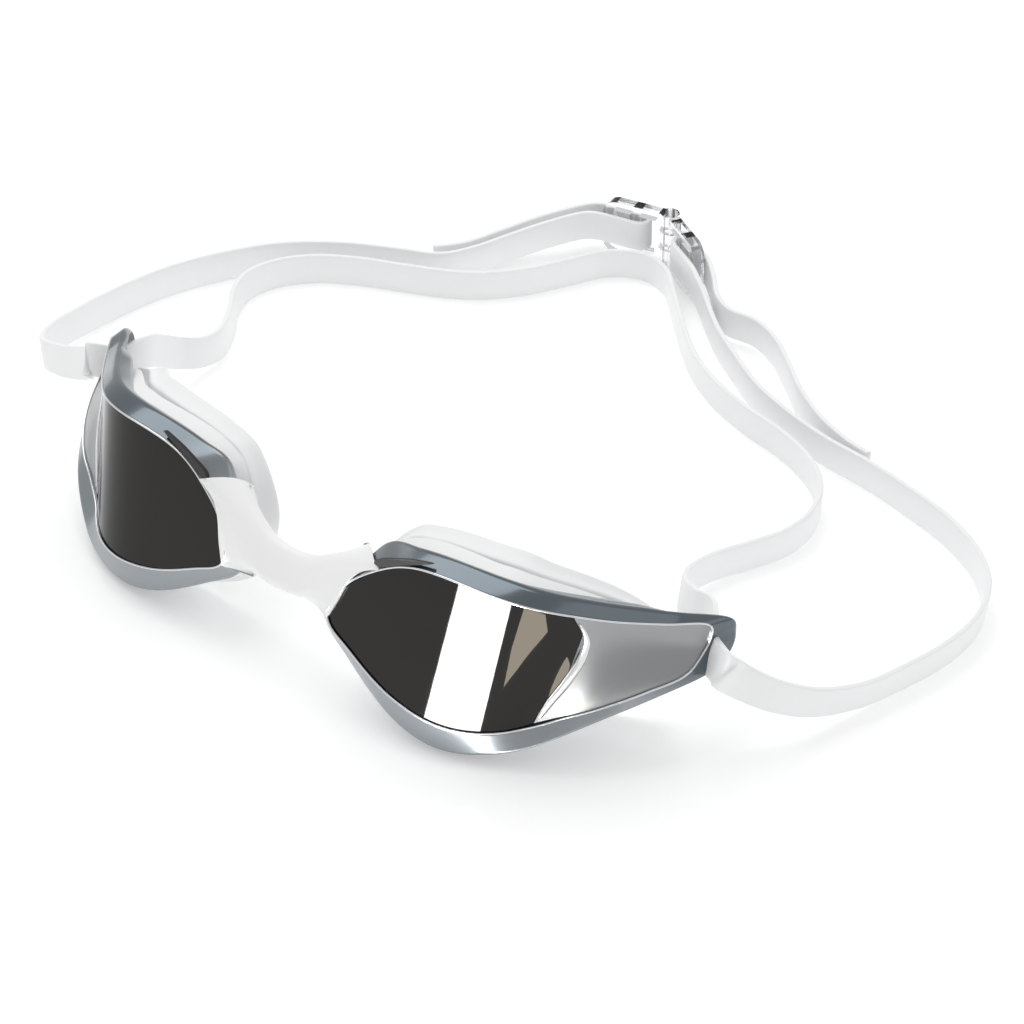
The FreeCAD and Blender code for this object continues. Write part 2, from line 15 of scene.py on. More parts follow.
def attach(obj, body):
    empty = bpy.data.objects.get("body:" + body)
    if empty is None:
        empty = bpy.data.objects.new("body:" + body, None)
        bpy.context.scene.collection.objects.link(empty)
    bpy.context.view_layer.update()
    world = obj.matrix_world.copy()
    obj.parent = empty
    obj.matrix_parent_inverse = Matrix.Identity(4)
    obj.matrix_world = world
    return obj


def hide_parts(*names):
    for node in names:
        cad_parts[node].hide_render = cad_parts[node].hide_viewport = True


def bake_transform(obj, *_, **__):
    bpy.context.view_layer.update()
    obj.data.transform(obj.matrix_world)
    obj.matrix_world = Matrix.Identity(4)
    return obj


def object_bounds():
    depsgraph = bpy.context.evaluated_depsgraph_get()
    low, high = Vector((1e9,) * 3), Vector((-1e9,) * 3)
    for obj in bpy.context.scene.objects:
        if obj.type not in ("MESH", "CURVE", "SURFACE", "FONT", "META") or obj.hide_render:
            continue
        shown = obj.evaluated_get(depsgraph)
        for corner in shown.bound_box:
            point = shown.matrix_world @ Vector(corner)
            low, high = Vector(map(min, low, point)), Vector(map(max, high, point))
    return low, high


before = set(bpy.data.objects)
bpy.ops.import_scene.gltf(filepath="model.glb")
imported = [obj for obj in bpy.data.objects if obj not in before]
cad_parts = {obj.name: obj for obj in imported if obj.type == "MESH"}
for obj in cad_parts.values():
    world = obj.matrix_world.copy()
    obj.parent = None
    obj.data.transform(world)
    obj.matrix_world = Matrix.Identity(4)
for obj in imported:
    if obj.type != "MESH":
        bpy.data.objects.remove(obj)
START_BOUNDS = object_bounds()

# %% [markdown]
# A cup is drawn in millimetres by s (length along the lens from the nose), v (height) and d
# (depth behind the face), then stood with its yaw, tilt and cant.  Drawing it flat first keeps
# its outlines readable.  The left cup is the mirror of the right one.

# %% Where a cup stands
MM = 0.001
SHIFT = np.array([3.8, -76.85, -0.14])
CUP_AT = np.array([19.1, 0.0, 48.4])
YAW, TILT, CANT = -2.0, 21.0, 9.0
ROOT = "bridge_and_strap"
SIDES = (("right", 1, "right_cup"), ("left", -1, "left_cup"))


def turn(axis, degrees):
    return np.array(Matrix.Rotation(math.radians(degrees), 3, axis))


CUP_TURN = turn("Z", YAW) @ turn("X", -TILT) @ turn("Y", CANT)


def placed(p, side=1):
    """Drawing points in millimetres, as points of the frame in metres."""
    return (p * np.array([side, 1, 1]) + SHIFT) * MM


print("nose end of the right cup", placed(CUP_AT).round(4))

# %% [markdown]
# Seen from above, the lens runs straight over the eye and then turns back towards the temple.
# The heading of that path is given at nine lengths and eased between them, so that the mirror
# has no break in its curvature and its reflections stay smooth.

# %% The path of the face
HEADINGS = [
    (-8, -2.0), (0, 0.0), (14, 2.5), (26, 7.0), (36, 22.0), (46, 43.0), (54, 49.0),
    (66, 47.5), (95, 45.0),
]
PATH_S = np.linspace(-8, 95, 1031)


def hermite(f, a, b, slope_a, slope_b):
    """Cubic from a to b for f from 0 to 1, with the given slopes at its ends."""
    return ((2 * f ** 3 - 3 * f ** 2 + 1) * a + (f ** 3 - 2 * f ** 2 + f) * slope_a
            + (-2 * f ** 3 + 3 * f ** 2) * b + (f ** 3 - f ** 2) * slope_b)


def ease(f):
    """0 to 1 with level ends."""
    return f * f * (3 - 2 * f)


def smooth_values(xs, ys, at_x):
    """Cubic through points, with slopes from the finite differences."""
    xs, ys = np.array(xs, float), np.array(ys, float)
    slope = np.gradient(ys, xs)
    k = np.clip(np.searchsorted(xs, at_x) - 1, 0, len(xs) - 2)
    h = xs[k + 1] - xs[k]
    return hermite((at_x - xs[k]) / h, ys[k], ys[k + 1], h * slope[k], h * slope[k + 1])


def table(points, at_x):
    return smooth_values(*zip(*points), at_x)


HEAD = np.radians(table(HEADINGS, PATH_S))


def run_up(part):
    """Distance gained along the path by one part of its direction, zero at the nose."""
    total = np.cumsum(part((HEAD[1:] + HEAD[:-1]) / 2)) * (PATH_S[1] - PATH_S[0])
    total = np.concatenate([[0], total])
    return total - np.interp(0, PATH_S, total)


PATH_ACROSS, PATH_BACK = run_up(np.cos), run_up(np.sin)


def at(s, v, d):
    """Drawing points of the right cup at length s, height v and depth d."""
    s, v, d = np.broadcast_arrays(*(np.asarray(q, float) for q in (s, v, d)))
    u, w, a = (np.interp(s, PATH_S, q) for q in (PATH_ACROSS, PATH_BACK, HEAD))
    return np.stack([u - d * np.sin(a), w + d * np.cos(a), v], -1) @ CUP_TURN.T + CUP_AT


print("temple end", placed(at(87.0, -2.6, 6.8)).round(4))

# %% [markdown]
# Towards the temple the face is sunk at the top and stands out at the bottom.  Two tables give
# that depth along the top and the bottom, and the height blends between them.  A third table
# gives the line where the mirror meets the temple panel.

# %% How the face flares
FLARE_TOP = [(-10, 0), (46, 0), (51, 0), (56, 0), (68, 0.8), (80, 2.7), (87, 4.2), (99, 5.0)]
FLARE_LOW = [(-10, 0), (43, 0), (47, 0), (51, 0), (56, -1.4), (60, -3.0), (66, -3.5), (72, -2.7), (78, -1.2),
             (83, 0.6), (87, 3.6), (99, 5)]
CREASE = [
    (-45, 52.0), (-28, 52.2), (-23, 52.8), (-18, 54.0), (-10, 55.2), (-8, 55.0), (-5.5, 53.4),
    (-3.6, 51.4), (5, 50.5),
]


def flare(s, v):
    """How far the temple half of the face is sunk (+) or stands out (-)."""
    low = np.clip((-2.0 - v) / np.interp(s, [50, 60, 70, 80], [28, 20, 14, 9]), 0, 1)
    return table(FLARE_TOP, s) * (1 - ease(low)) + table(FLARE_LOW, s) * ease(low)


print("flare at the lower corner", flare(66.0, -20.0).round(2), "mm")

# %% [markdown]
# The outlines are few points joined by a closed smooth curve, as a maker draws them: the lens,
# the rim round it (with its own depth), the housing, the opening for the eye and the line where
# the gasket meets the face.

# %% Outlines of a cup
LENS_EDGE = [
    (8.3, -14.9), (15.0, -9.9), (24.0, -6.9), (36.0, -4.8), (50.0, -3.0), (60.0, -1.8),
    (70.0, 0.0), (79.0, 1.8), (81.0, -1.6), (80.0, -6.0), (77.5, -9.8), (70.5, -14.6),
    (60.0, -22.6), (50.0, -31.5), (36.0, -37.0), (22.0, -37.6), (9.0, -34.6), (1.0, -31.3),
    (2.4, -22.4),
]
RIM_EDGE = [
    (4.5, -11.2, 4.6), (13.0, -7.2, 4.4), (24.0, -4.0, 3.8), (36.0, -2.0, 3.8), (50.0, -0.5, 2.6),
    (61.0, 0.6, 2.4), (73.0, 2.0, 3.8), (84.0, 3.2, 5.4), (87.2, -0.4, 6.6), (87.2, -4.6, 5.2),
    (84.0, -8.2, 1.6), (75.5, -14.0, -2.2), (61.5, -24.6, -5.2), (50.0, -35.8, -2.8),
    (37.0, -43.2, 1.4), (23.0, -43.6, 2.4), (8.0, -38.4, 2.5), (-1.5, -33.2, 2.5), (0.8, -23.0, 2.5),
]
HOUSING_EDGE = [
    (7.0, -12.0), (14.0, -7.8), (24.0, -5.0), (36.0, -2.8), (50.0, -2.3), (59.0, -2.6),
    (67.0, -3.0), (74.0, -4.0), (77.0, -7.5), (77.0, -11.0), (75.0, -15.5), (69.0, -22.5),
    (60.0, -30.0), (50.0, -36.5), (36.0, -40.5), (22.0, -40.3), (9.0, -36.3), (1.5, -32.5),
    (3.5, -23.0),
]
EYE_EDGE = [
    (11.0, -15.5), (17.0, -11.5), (25.0, -8.8), (36.0, -6.8), (50.0, -6.3), (58.0, -6.6),
    (65.0, -7.0), (70.5, -8.0), (72.5, -10.0), (72.3, -12.5), (70.5, -15.0), (65.5, -19.5),
    (58.0, -25.5), (49.0, -31.0), (36.0, -35.0), (23.0, -35.0), (12.0, -32.0), (5.5, -29.5),
    (7.0, -22.5),
]
FACE_EDGE = [
    (3.5, -9.6), (11.5, -4.7), (23.0, -1.2), (36.0, 0.9), (50.0, 0.4), (58.5, -0.4),
    (66.0, -1.9), (73.0, -4.0), (77.0, -8.0), (78.2, -13.4), (78.2, -20.6), (73.0, -28.8),
    (62.0, -34.2), (50.0, -37.6), (36.0, -40.2), (21.0, -42.2), (8.6, -40.4), (0.6, -35.2),
    (-2.8, -22.6),
]
LOOP_POINTS = 400


def closed_spline(points, n):
    """n points on a closed uniform Catmull-Rom curve, evenly spread over the spans."""
    p = np.array(points, float)
    t = np.arange(n) * len(p) / n
    k = t.astype(int)
    a, b, c, d = (p[(k + j) % len(p)] for j in (-1, 0, 1, 2))
    return hermite((t - k)[:, None], b, c, (c - a) / 2, (d - b) / 2)


def inset(loop, w):
    """Closed outline moved inward by w."""
    loop = loop[:, :2]
    g = np.roll(loop, -1, 0) - np.roll(loop, 1, 0)
    g /= np.linalg.norm(g, axis=1)[:, None]
    return loop + np.stack([g[:, 1], -g[:, 0]], 1) * w


LENS_LOOP, RIM_LOOP, HOUSING_LOOP, EYE_LOOP, FACE_LOOP = (
    closed_spline(edge, LOOP_POINTS) for edge in (LENS_EDGE, RIM_EDGE, HOUSING_EDGE, EYE_EDGE, FACE_EDGE))
print("lens from", LENS_LOOP[:, 0].min().round(1), "to", LENS_LOOP[:, 0].max().round(1), "mm")

# %% [markdown]
# A skin is a grid of quads through rows of points.  Rows that follow the outlines of a cup give
# clean loops for the reflections, which a remesh or a boolean would break.

# %% Skins through rows
def new_piece(name, verts, faces, smooth=True):
    mesh = bpy.data.meshes.new(name)
    mesh.from_pydata([tuple(v) for v in verts], [], faces)
    mesh.validate()
    mesh.update()
    if smooth:
        mesh.shade_smooth()
    ob = bpy.data.objects.new(name, mesh)
    bpy.context.scene.collection.objects.link(ob)
    return ob


def grid_faces(rows, columns, close_rows, close_columns, flip):
    """Quads between neighbouring points of a grid, which may close on itself either way."""
    faces = []
    for i in range(rows if close_rows else rows - 1):
        for j in range(columns if close_columns else columns - 1):
            below, right = (i + 1) % rows, (j + 1) % columns
            quad = (i * columns + j, i * columns + right, below * columns + right, below * columns + j)
            faces.append(quad[::-1] if flip else quad)
    return faces


def skin(name, rows, close_rows=True, flip=False, side=1):
    """Piece through rows of closed loops; close_rows joins the last row to the first."""
    verts = np.concatenate([placed(q, side) for q in rows])
    return new_piece(name, verts, grid_faces(len(rows), len(rows[0]), close_rows, True, flip != (side < 0)))


def row(loop, d):
    """An outline as a row at depth d, which may be a function of s."""
    return at(loop[:, 0], loop[:, 1], d(loop[:, 0]) if callable(d) else d)


def face_row(loop, d):
    """The same, following the flared face."""
    return at(loop[:, 0], loop[:, 1], d + flare(loop[:, 0], loop[:, 1]))


def rounded(corners, radii, steps=5):
    """Rows of a closed profile, each corner of it rounded by about its radius."""
    out = []
    for i, (b, radius) in enumerate(zip(corners, radii)):
        a, c = corners[i - 1], corners[(i + 1) % len(corners)]
        la = np.linalg.norm(a - b, axis=1)[:, None]
        lc = np.linalg.norm(c - b, axis=1)[:, None]
        p = b + (a - b) / la * np.minimum(radius, la * 0.45)
        q = b + (c - b) / lc * np.minimum(radius, lc * 0.45)
        for t in np.linspace(0, 1, steps):
            out.append((1 - t) ** 2 * p + 2 * t * (1 - t) * b + t ** 2 * q)
    return out


print("a loop has", LOOP_POINTS, "points")

# %% [markdown]
# Finishes are node trees, worked out from places on the piece itself.  Sock wraps one output of
# a node, and sums and products of it add Math nodes.  Every other node comes from Sock.make, which
# takes the node's type, its settings and then its sockets.

# %% Shader arithmetic
class Sock:
    """One output of a node, with arithmetic."""

    def __init__(self, tree, out):
        self.tree = tree
        self.out = out

    @staticmethod
    def make(tree, kind, settings, sockets, out=0):
        """Add one node: its settings first, then each socket as a value or a link."""
        node = tree.nodes.new(kind)
        for name, value in settings.items():
            setattr(node, name, value)
        for name, value in sockets.items():
            if isinstance(value, Sock):
                tree.links.new(value.out, node.inputs[name])
            else:
                node.inputs[name].default_value = value
        return Sock(tree, node.outputs[out])

    def math(self, operation, a, b):
        return Sock.make(self.tree, "ShaderNodeMath", {"operation": operation}, {0: a, 1: b})

    def into(self, socket):
        self.tree.links.new(self.out, socket)

    def __add__(self, other):
        return self.math("ADD", self, other)

    def __mul__(self, other):
        return self.math("MULTIPLY", self, other)

    def __sub__(self, other):
        return self.math("SUBTRACT", self, other)

    def __rsub__(self, other):
        return self.math("SUBTRACT", other, self)

    __radd__ = __add__
    __rmul__ = __mul__


print("operators + - * make Math nodes")

# %% [markdown]
# Nine finishes cover the goggles: soft whites for the strap, the bridge and the gaskets, a glossy
# grey metallic paint, a satin one, a bright polished metal for painted highlights, the dark mirror,
# clear plastic and black rubber, whose black also paints shade under the brow.  All are one Principled shader.

# %% Finishes
def principled(name, **values):
    mat = bpy.data.materials.new(name)
    mat.use_nodes = True
    bsdf = mat.node_tree.nodes["Principled BSDF"]
    for key, value in values.items():
        colour = isinstance(value, tuple)
        bsdf.inputs[key.replace("_", " ")].default_value = (*value, 1.0) if colour else value
    return mat


WHITE_STRAP = principled("white_silicone", Base_Color=(0.93, 0.935, 0.94), Roughness=0.42)
WHITE_TPR = principled("white_tpr", Base_Color=(0.94, 0.94, 0.945), Roughness=0.36)
WHITE_GASKET = principled("white_gasket", Base_Color=(0.90, 0.905, 0.91), Roughness=0.5)
GREY = principled("grey_gloss", Base_Color=(0.105, 0.13, 0.15), Metallic=0.8, Roughness=0.17,
                  Coat_Weight=0.6, Coat_Roughness=0.05)
SATIN = principled("satin_grey", Base_Color=(0.32, 0.33, 0.34), Metallic=0.85, Roughness=0.3)
# Bright polished metal for the crease strip and the lens bead: painted highlights.
POLISHED_HIGHLIGHT = principled("polished_edge", Base_Color=(0.72, 0.73, 0.75), Metallic=1.0, Roughness=0.16)
MIRROR = principled("mirror_lens", Base_Color=(0.036, 0.035, 0.034), Metallic=1.0, Roughness=0.02)
CLEAR = principled("clear_plastic", Base_Color=(0.99, 0.99, 1.0), Roughness=0.06,
                   Transmission_Weight=1.0, IOR=1.3)
# Black rubber for the seal; the same black also paints the shade of the wedge under the brow.
BLACK = principled("black_rubber", Base_Color=(0.012, 0.012, 0.012), Roughness=0.6)
print("finishes", [mat.name for mat in bpy.data.materials])

# %% [markdown]
# The strap is moulded silicone with a faint grain: a fine noise on Object coordinates feeds a
# weak bump.  The frame is one moulding that is glossy above and satin below.  An attribute of
# the frame's own points blends the two, so the change follows the rim and not the view.

# %% Grain and the two-tone frame
GRAIN_DEPTH = 0.00005


def fine_grain(mat, scale, strength):
    tree = mat.node_tree
    coords = Sock.make(tree, "ShaderNodeTexCoord", {}, {}, "Object")
    noise = Sock.make(tree, "ShaderNodeTexNoise", {}, {"Vector": coords, "Scale": scale, "Detail": 3.0})
    bump = Sock.make(tree, "ShaderNodeBump", {},
                     {"Height": noise, "Strength": strength, "Distance": GRAIN_DEPTH})
    bump.into(tree.nodes["Principled BSDF"].inputs["Normal"])


def two_tone(mat, colour, rough):
    """Blend a finish towards a second colour and roughness by the attribute satin."""
    tree = mat.node_tree
    bsdf = tree.nodes["Principled BSDF"].inputs
    amount = Sock.make(tree, "ShaderNodeAttribute", {"attribute_name": "satin"}, {}, "Fac")
    sockets = {0: amount, 6: bsdf["Base Color"].default_value, 7: (*colour, 1.0)}
    Sock.make(tree, "ShaderNodeMix", {"data_type": "RGBA"}, sockets, 2).into(bsdf["Base Color"])
    gloss = bsdf["Roughness"].default_value
    (gloss + amount * (rough - gloss)).into(bsdf["Roughness"])


fine_grain(WHITE_STRAP, 900.0, 0.12)
two_tone(GREY, (0.30, 0.325, 0.345), 0.34)
print("grey has", len(GREY.node_tree.nodes), "nodes")


def finish_piece(ob, material):
    ob.data.materials.clear()
    ob.data.materials.append(material)
    return ob


# %% [markdown]
# The cup's frame is one hard moulding round the lens.  Its section is six corners: the lip on
# the face, the outer rim, the back, and the rebate that the lens sits in.  Each corner is
# rounded, because a moulding has no sharp edge and the highlights run along the round.

# %% Cup frame
FRAME_PROUD = 0.4
SEAT = 2.7
LIP = 1.6
SATIN_BELOW, SATIN_OVER = -9.0, 8.0


def frame_depth(s):
    return 6.5 - 3.1 * ease(np.clip((s - 64) / 14, 0, 1))


def cup_frame(name, side):
    lip, rear = inset(LENS_LOOP, LIP), inset(RIM_LOOP, 0.9)
    corners = [
        face_row(LENS_LOOP, -FRAME_PROUD), row(RIM_LOOP, RIM_LOOP[:, 2]),
        row(rear, np.maximum(frame_depth(rear[:, 0]), RIM_LOOP[:, 2] + LIP)),
        row(lip, frame_depth), face_row(lip, SEAT), face_row(LENS_LOOP, SEAT)]
    rows = rounded(corners, [0.45, 1.1, 0.8, 0.3, 0.3, 0.1])
    ob = skin(name, rows, side=side)
    satin = np.clip((SATIN_BELOW - LENS_LOOP[:, 1]) / SATIN_OVER, 0, 1)
    values = ob.data.attributes.new("satin", "FLOAT", "POINT")
    values.data.foreach_set("value", np.tile(satin, len(rows)).astype(np.float32))
    return ob


print("frame is", frame_depth(20.0), "mm deep over the eye,", frame_depth(85.0).round(1), "at the temple")

# %% [markdown]
# The mirror and the temple panel are one sheet of glazing that changes finish at the crease.
# Both are cut from the same grid, whose columns bend to the crease, so they meet without a gap.

# %% Mirror and temple panel
GLAZING = 2.0
CREASE_S = 53.0
GLAZING_GAP = 0.1
COLUMNS, GLAZING_ROWS = 161, 41


def edges_at(loop, s):
    """Heights of the top and the bottom of a closed outline at lengths s."""
    ring = np.roll(loop, -int(np.argmin(loop[:, 0])), 0)
    far = int(np.argmax(ring[:, 0]))
    sides = (ring[:far + 1], ring[far:])
    sides = [part[np.argsort(part[:, 0])] for part in sides]
    return [np.interp(s, part[:, 0], part[:, 1]) for part in sides]


def plate_piece(name, side, start, stop):
    """Slice of the glazing between two lengths, as a closed thin solid."""
    loop = inset(LENS_LOOP, GLAZING_GAP)
    start = max(start, loop[:, 0].min() + 0.02)
    stop = min(stop, loop[:, 0].max() - 0.02)
    flat = start + (stop - start) * (1 - np.cos(np.linspace(0, math.pi, COLUMNS))) / 2
    top, bottom = edges_at(loop, flat)
    rows = []
    for d, order in ((0.0, 1), (GLAZING, -1)):
        for f in np.linspace(0, 1, GLAZING_ROWS)[::order]:
            v = bottom + (top - bottom) * f
            s = flat + (table(CREASE, v) - CREASE_S) * np.exp(-((flat - CREASE_S) / 8) ** 2)
            rows.append(at(s, v, d + flare(s, v)))
    faces = grid_faces(len(rows), COLUMNS, True, False, side < 0)
    near = [j * COLUMNS for j in range(len(rows))]
    away = [j + COLUMNS - 1 for j in near]
    faces += [tuple(near), tuple(away[::-1])] if side > 0 else [tuple(near[::-1]), tuple(away)]
    ob = new_piece(name, placed(np.concatenate(rows), side), faces)
    ob.modifiers.new("edges", "EDGE_SPLIT").split_angle = math.radians(40)
    return ob


print("glazing", COLUMNS, "by", 2 * GLAZING_ROWS, "points for each finish")

# %% [markdown]
# Small trim: the soft seal behind the glazing, a bright polished strip on the crease as a painted highlight, a
# black wedge under the brow as painted shade, and round beads for the painted highlight along the edge of the
# lens and for the nose bar.

# %% Seal, highlight strip and shade wedge
HIGHLIGHT_STRIP_POINTS = 60
# Outline of the black sheet that paints the shade under the brow, by s and v.
SHADE_WEDGE = [
    (19.5, -6.2), (14.5, -8.3), (10.5, -10.6), (7.4, -12.6), (7.0, -14.0), (9.0, -13.6),
    (12.0, -11.4), (15.5, -9.0),
]
SHADE_WEDGE_POINTS = 64


def lens_seal(name, side):
    out, inn = inset(LENS_LOOP, 0.3), inset(LENS_LOOP, 1.4)
    corners = ((out, 2.05), (out, 2.65), (inn, 2.65), (inn, 2.05))
    return skin(name, [face_row(loop, d) for loop, d in corners], side=side)


def crease_highlight_strip(name, side):
    """Bright polished strip where the mirror meets the temple panel, a painted highlight of the bend there."""
    v = np.linspace(-27.2, -4.4, HIGHLIGHT_STRIP_POINTS)
    start = table(CREASE, v) + 0.25
    wide = 1.7 - 0.9 * np.abs(np.linspace(-1, 1, HIGHLIGHT_STRIP_POINTS)) ** 3
    section = ((0.0, 0.4), (0.08, -0.06), (0.5, -0.16), (0.92, -0.06), (1.0, 0.4))
    lines = [at(start + wide * k, v, d + flare(start + wide * k, v)) for k, d in section]
    verts = placed(np.stack(lines, 1), side).reshape(-1, 3)
    return new_piece(name, verts, grid_faces(HIGHLIGHT_STRIP_POINTS, len(section), False, False, side < 0))


def painted_shade_wedge_piece(name, side):
    """Painted shade: a black sheet where the inner side of the frame lies in shade between the brow and the
    nose end of the lens.
    """
    loop = closed_spline(SHADE_WEDGE, SHADE_WEDGE_POINTS)
    verts = np.concatenate([placed(at(loop[:, 0], loop[:, 1], d), side) for d in (0.6, -0.55)])
    top = tuple(range(SHADE_WEDGE_POINTS, 2 * SHADE_WEDGE_POINTS))
    faces = grid_faces(2, SHADE_WEDGE_POINTS, False, True, side < 0)
    return new_piece(name, verts, faces + [top if side > 0 else top[::-1]], smooth=False)


print("strip", HIGHLIGHT_STRIP_POINTS, "points long")

# %% [markdown]
# The highlight along the edge of the lens opening is painted with a thin bright round bead, and the
# nose bar is a plain rod.  Both are a ring of points carried along a line, closed for the bead and open for
# the rod.

# %% Highlight beads and bars
BAR_LEAN = math.radians(24)
BAR_MID = at(0.9, -21.9, 2.6)
BAR_AXIS = CUP_TURN @ np.array([math.sin(BAR_LEAN), 0, math.cos(BAR_LEAN)])
BAR_RADIUS, BAR_HALF = 1.3, 7.6


def tube(name, centres, radius, side, closed, n=10):
    """Round bead of one radius along drawing points."""
    step = np.roll(centres, -1, 0) - np.roll(centres, 1, 0) if closed else np.gradient(centres, axis=0)
    step /= np.linalg.norm(step, axis=1)[:, None]
    u = np.cross(step, CUP_TURN @ np.array([0.3, 1, 0.1]))
    u /= np.linalg.norm(u, axis=1)[:, None]
    w = np.cross(step, u)
    rows = [centres + radius * (u * math.cos(a) + w * math.sin(a)) for a in np.arange(n) * 2 * math.pi / n]
    if not closed:
        rows = list(np.stack(rows, 1))
    return skin(name, rows, close_rows=closed, flip=True, side=side)


# Painted highlight: a bright polished bead along the edge of the lens opening.
def lens_highlight_bead(name, side):
    return tube(name, face_row(inset(LENS_LOOP, 0.05), -0.34), 0.24, side, True)


def short_bar(name, side):
    along = np.linspace(-BAR_HALF, BAR_HALF, 12)[:, None]
    return tube(name, BAR_MID + BAR_AXIS * along, BAR_RADIUS, side, False, 20)


print("nose bar", 2 * BAR_HALF, "mm long")

# %% [markdown]
# The gasket is a soft skirt that flares from the housing to the face and turns in round the
# eye.  Five corners with large rounds give it the fat, soft lip of moulded rubber.

# %% Face gasket
def cup_gasket(name, side):
    def back(s):
        return frame_depth(s) + 3.5

    def rim(s):
        return back(s) + 4.6

    def waist(s):
        return back(s) + 2.2

    mid = HOUSING_LOOP + (FACE_LOOP - HOUSING_LOOP) * 0.45
    narrow = inset(mid + (FACE_LOOP - mid) * 0.45, 0.5)
    corners = [row(mid, back), row(narrow, waist), row(FACE_LOOP, rim), row(inset(FACE_LOOP, 2.4), rim),
               row(inset(EYE_LOOP, -1.3), back)]
    return skin(name, rounded(corners, [0.8, 2.2, 1.1, 1.1, 0.4], steps=6), side=side)


print("gasket from", frame_depth(20.0) + 3.5, "to", frame_depth(20.0) + 8.1, "mm behind the face")

# %% [markdown]
# Both cups are now built from the same functions.  Each skin rides on its cup and hides the
# part of the frame that it stands for.

# %% Build both cups
for tag, side, body in SIDES:
    built = [
        # painted shade: a black sheet under the brow
        (painted_shade_wedge_piece("wedge_" + tag, side), BLACK, "black_rubber", "frame_" + tag),
        (lens_seal("seal_skin_" + tag, side), BLACK, "black_rubber", "lens_seal_" + tag),
        (short_bar("bar_skin_" + tag, side), GREY, "grey_gloss", "nose_bar_" + tag),
        # painted highlights: the crease strip and the lens bead in bright polished metal
        (crease_highlight_strip("crease_" + tag, side), POLISHED_HIGHLIGHT, "satin_grey", "temple_panel_" + tag),
        (lens_highlight_bead("bead_" + tag, side), POLISHED_HIGHLIGHT, "satin_grey", "frame_" + tag),
        (cup_frame("frame_skin_" + tag, side), GREY, "grey_gloss", "frame_" + tag),
        (plate_piece("lens_skin_" + tag, side, -9, CREASE_S - 0.1), MIRROR, "mirror_lens", "lens_" + tag),
        (plate_piece("panel_skin_" + tag, side, CREASE_S + 0.1, 99), SATIN, "satin_grey",
         "temple_panel_" + tag),
        (cup_gasket("gasket_skin_" + tag, side), WHITE_GASKET, "white_gasket", "gasket_" + tag),
    ]
    for ob, mat, slot_name, node in built:
        finish_piece(ob, mat)
        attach(ob, body)
        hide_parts(node)
        print(ob.name, len(ob.data.polygons), "faces")

# %% [markdown]
# The soft bridge is a narrow neck that spreads into a wing at each cup.  Sections turn from an
# upright oblong at the middle into the ring that wraps the nose end of the frame.  It is made
# in two halves, one for each cup.

# %% Ring round the nose end of a frame
WING_FRONT = np.array([(8.6, -14.5, -0.7), (5.4, -16.9, -0.8), (3.5, -19.4, -0.9), (2.5, -22.6, -1.0),
                       (1.9, -26.8, -1.0), (0.9, -31.9, -0.8)])
WING_TOP = np.array([(8.6, -14.5, -0.8), (6.5, -13.9, 0.0), (4.0, -13.5, 1.8), (1.4, -13.7, 4.2),
                     (-0.8, -15.0, 6.4)])
WING_BACK = np.array([(-0.8, -15.0, 6.4), (-1.8, -18.0, 7.0), (-2.4, -21.5, 7.2), (-2.9, -26.0, 7.0),
                      (-3.3, -30.0, 6.6), (-3.6, -34.4, 5.6)])


def along_points(points, n):
    """n points evenly spread over the spans of a smooth line through control points."""
    t = np.linspace(0, len(points) - 1, n)
    return np.stack([smooth_values(range(len(points)), points[:, i], t) for i in range(3)], 1)


def wing_ring(grow):
    """Closed loop: down the back of the frame, up the edge of the lens, over the top."""
    back = along_points(WING_BACK, 18)
    front = along_points(WING_FRONT, 17)[::-1]
    top = along_points(WING_TOP, 7)[1:-1]
    back[:, 2] += grow
    front[:, 2] -= grow
    top += np.array([0.0, 0.7, -0.7]) * grow
    ring = np.concatenate([back, front, top])
    return at(ring[:, 0], ring[:, 1], ring[:, 2])


WING_END = wing_ring(0.0)
print("ring of", len(WING_END), "points")

# %% [markdown]
# A section of the neck grows in height and thickness as it nears the cup, and its up direction
# turns from the arch of the neck to the nose bar.  Past a third of the way it eases into the
# ring of the wing, so that the soft part seems to flow over the frame.

# %% Bridge halves
NECK_HIGH, WING_HIGH = 9.4, 17.5
NECK_THICK, WING_THICK = 3.4, 5.8
NECK_MID = np.array([0.0, -7.4, 22.8])
ARCH = np.array([0, 0.62, 0.78])
NECK_SECTIONS = 49


def soft_oblong(n):
    """Cosine and sine round an oblong whose corners are a little fuller than an ellipse's."""
    a = 2 * math.pi * np.arange(n) / n
    return [np.copysign(np.abs(q) ** 0.8, q)[:, None] for q in (np.cos(a), np.sin(a))]


def neck_section(t):
    """Section at t from the middle of the neck (0) to the nose bar (1)."""
    up = ARCH + (BAR_AXIS - ARCH) * t ** 2
    up /= np.linalg.norm(up)
    out = np.array([0, up[2], -up[1]])
    out /= np.linalg.norm(out)
    centre = NECK_MID + (BAR_MID - NECK_MID) * t ** 2
    centre[0] = (BAR_MID[0] - 1.5) * t
    high = NECK_HIGH + (WING_HIGH - NECK_HIGH) * t ** 3
    thick = NECK_THICK + (WING_THICK - NECK_THICK) * t
    ca, sa = soft_oblong(len(WING_END))
    return centre + up * ca * high / 2 + out * sa * thick / 2


def bridge_half(name, side):
    rows = []
    for t in np.linspace(0, 1, NECK_SECTIONS):
        wing = ease(np.clip((t - 0.35) / 0.65, 0, 1))
        rows.append((1 - wing) * neck_section(t) + wing * WING_END)
    rows.append(wing_ring(-1.0))
    return skin(name, rows, close_rows=False, flip=True, side=side)


for tag, side, body in SIDES:
    half = finish_piece(bridge_half("bridge_" + tag, side), WHITE_TPR)
    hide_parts("nose_bridge")
    tuple(placed(np.array([3.0, -7, 23]), side))
    tuple(placed(np.array([13.0, -7, 25]), side))
    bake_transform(half)
    print(half.name, len(half.data.polygons), "faces")
